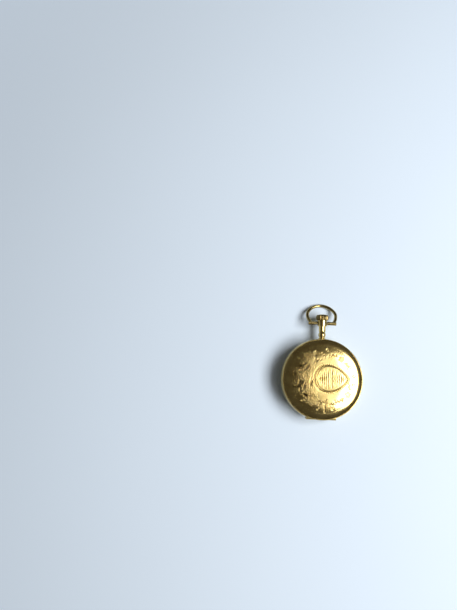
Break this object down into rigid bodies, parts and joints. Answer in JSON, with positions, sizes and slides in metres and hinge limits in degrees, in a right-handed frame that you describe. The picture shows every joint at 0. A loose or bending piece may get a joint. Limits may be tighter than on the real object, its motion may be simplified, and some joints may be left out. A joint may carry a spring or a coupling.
{
  "type": "pendant watch",
  "caption": "Small gold pendant watch in a hinged hunter case with engraved cover, ribbed crown, swinging oval bow and a mechanical movement inside.",
  "frame": {"origin": "centre of the small flat in the middle of the back cover, which the closed watch lies on", "axes": "+Z from the back cover to the front cover, +Y from the case's centre to the crown, +X towards six o'clock of the dial"},
  "size_m": [0.034, 0.0493, 0.011],
  "materials": {
    "case_gold": "worn polished gold",
    "cuvette_gold": "polished gold",
    "hinge_steel": "satin",
    "spring_steel": "satin",
    "blued_steel": "heat-blued, polished",
    "plate_nickel": "nickel with fine stripes",
    "wheel_brass": "gilt, satin",
    "polished_steel": "polished",
    "balance_gilt": "polished",
    "jewel_ruby": "polished stone",
    "dial_enamel": "fired white enamel",
    "watch_glass": "clear"
  },
  "bodies": {
    "case": {"case_center": "case_gold", "pendant": "case_gold", "crown_sleeve": "hinge_steel", "front_hinge_pin": "hinge_steel", "back_hinge_pin": "hinge_steel", "bezel": "case_gold", "crystal": "watch_glass", "bow_pins": "hinge_steel", "lift_spring": "spring_steel", "catch_spring": "spring_steel", "spring_screws": "blued_steel", "case_screws": "blued_steel", "dial": "dial_enamel", "main_plate": "plate_nickel", "barrel_bridge": "plate_nickel", "train_bridge": "plate_nickel", "balance_cock": "plate_nickel", "pallet_cock": "plate_nickel", "bridge_screws": "blued_steel", "winding_screws": "blued_steel", "plate_jewels": "jewel_ruby", "bridge_jewels": "jewel_ruby", "click_spring": "spring_steel", "hairspring": "blued_steel"},
    "front_lid": {"front_lid": "case_gold"},
    "back_cover": {"back_cover": "case_gold"},
    "cuvette": {"cuvette": "cuvette_gold"},
    "bow": {"bow": "case_gold"},
    "winding_pinion": {"winding_pinion": "polished_steel"},
    "crown": {"crown": "case_gold", "stem": "hinge_steel"},
    "clutch_wheel": {"clutch_wheel": "polished_steel"},
    "crown_wheel": {"crown_wheel": "polished_steel"},
    "ratchet": {"ratchet_wheel": "polished_steel", "ratchet_screw": "blued_steel", "barrel_arbor": "polished_steel"},
    "click": {"click": "polished_steel"},
    "barrel": {"barrel_drum": "wheel_brass", "barrel_cover": "wheel_brass", "mainspring": "spring_steel"},
    "centre": {"centre_arbor": "polished_steel", "centre_wheel": "wheel_brass", "cannon_pinion": "polished_steel", "minute_hand": "blued_steel"},
    "third": {"third_arbor": "polished_steel", "third_wheel": "wheel_brass"},
    "fourth": {"fourth_arbor": "polished_steel", "fourth_wheel": "wheel_brass", "seconds_hand": "blued_steel"},
    "escape": {"escape_arbor": "polished_steel", "escape_wheel": "polished_steel"},
    "minute_wheel": {"minute_wheel": "wheel_brass"},
    "hour": {"hour_wheel": "wheel_brass", "hour_hand": "blued_steel"},
    "setting_wheel": {"setting_wheel": "polished_steel"},
    "lever": {"pallet_fork": "polished_steel", "pallet_stones": "jewel_ruby"},
    "balance": {"balance_wheel": "balance_gilt", "balance_staff": "polished_steel"},
    "regulator": {"regulator": "polished_steel"}
  },
  "joints": [
    {"name": "front_lid_hinge", "type": "hinge", "parent": "case", "child": "front_lid", "pos_m": [0, -0.01615, 0.0068], "axis": [1, 0, 0], "range_deg": [0, 105]},
    {"name": "back_cover_hinge", "type": "hinge", "parent": "case", "child": "back_cover", "pos_m": [0, -0.01615, 0.0042], "axis": [-1, 0, 0], "range_deg": [0, 105]},
    {"name": "cuvette_hinge", "type": "hinge", "parent": "case", "child": "cuvette", "pos_m": [0, -0.01615, 0.0042], "axis": [-1, 0, 0], "range_deg": [0, 80]},
    {"name": "bow_swing", "type": "hinge", "parent": "case", "child": "bow", "pos_m": [0, 0.0237, 0.0055], "axis": [1, 0, 0], "range_deg": [-79.4, 140.6]},
    {"name": "winding_turn", "type": "hinge", "parent": "case", "child": "winding_pinion", "pos_m": [0, 0.0106, 0.0055], "axis": [0, 1, 0], "continuous": true},
    {"name": "crown_slide", "type": "slide", "parent": "winding_pinion", "child": "crown", "axis": [0, 1, 0], "range_m": [-0.0005, 0.0008]},
    {"name": "clutch_slide", "type": "slide", "parent": "winding_pinion", "child": "clutch_wheel", "axis": [0, -1, 0], "range_m": [0, 0.0008]},
    {"name": "crown_wheel_turn", "type": "hinge", "parent": "case", "child": "crown_wheel", "pos_m": [0, 0.00795, 0.00287], "axis": [0, 0, 1], "continuous": true},
    {"name": "ratchet_turn", "type": "hinge", "parent": "case", "child": "ratchet", "pos_m": [-0.00683, 0.0029, 0.00287], "axis": [0, 0, 1], "continuous": true},
    {"name": "click_swing", "type": "hinge", "parent": "case", "child": "click", "pos_m": [-0.01069, -0.00282, 0.00287], "axis": [0, 0, -1], "range_deg": [0, 8]},
    {"name": "fourth_turn", "type": "hinge", "parent": "case", "child": "fourth", "pos_m": [0.0072, 0, 0.00475], "axis": [0, 0, -1], "continuous": true},
    {"name": "third_turn", "type": "hinge", "parent": "case", "child": "third", "pos_m": [0.00421, 0.00302, 0.0053], "axis": [0, 0, -1], "continuous": true},
    {"name": "centre_turn", "type": "hinge", "parent": "case", "child": "centre", "pos_m": [0, 0, 0.0042], "axis": [0, 0, -1], "continuous": true},
    {"name": "barrel_turn", "type": "hinge", "parent": "case", "child": "barrel", "pos_m": [-0.00683, 0.0029, 0.0046], "axis": [0, 0, -1], "continuous": true},
    {"name": "escape_turn", "type": "hinge", "parent": "case", "child": "escape", "pos_m": [0.006, -0.00325, 0.0054], "axis": [0, 0, -1], "continuous": true},
    {"name": "minute_wheel_turn", "type": "hinge", "parent": "case", "child": "minute_wheel", "pos_m": [0.0012, 0.00208, 0.00725], "axis": [0, 0, -1], "continuous": true},
    {"name": "hour_turn", "type": "hinge", "parent": "case", "child": "hour", "pos_m": [0, 0, 0.0075], "axis": [0, 0, -1], "continuous": true},
    {"name": "setting_wheel_turn", "type": "hinge", "parent": "case", "child": "setting_wheel", "pos_m": [0.0003, 0.00556, 0.00725], "axis": [0, 0, -1], "continuous": true},
    {"name": "lever_swing", "type": "hinge", "parent": "case", "child": "lever", "pos_m": [0.00533, -0.00592, 0.00535], "axis": [0, 0, 1], "range_deg": [-5, 5]},
    {"name": "balance_swing", "type": "hinge", "parent": "case", "child": "balance", "pos_m": [0.00469, -0.00849, 0.00395], "axis": [0, 0, 1], "range_deg": [-270, 270]},
    {"name": "regulator_turn", "type": "hinge", "parent": "case", "child": "regulator", "pos_m": [0.00469, -0.00849, 0.00269], "axis": [0, 0, 1], "range_deg": [-20, 20]}
  ],
  "couplings": [
    {"joint": "cuvette_hinge", "follows": "back_cover_hinge", "ratio": 0.75},
    {"joint": "crown_wheel_turn", "follows": "winding_turn", "ratio": 0.54286},
    {"joint": "ratchet_turn", "follows": "winding_turn", "ratio": -0.38},
    {"joint": "fourth_turn", "follows": "escape_turn", "ratio": -0.1},
    {"joint": "third_turn", "follows": "escape_turn", "ratio": 0.013333},
    {"joint": "centre_turn", "follows": "escape_turn", "ratio": -0.0016667},
    {"joint": "barrel_turn", "follows": "escape_turn", "ratio": 0.00020833},
    {"joint": "minute_wheel_turn", "follows": "escape_turn", "ratio": 0.00055556},
    {"joint": "hour_turn", "follows": "escape_turn", "ratio": -0.00013889},
    {"joint": "setting_wheel_turn", "follows": "escape_turn", "ratio": -0.00055556}
  ]
}
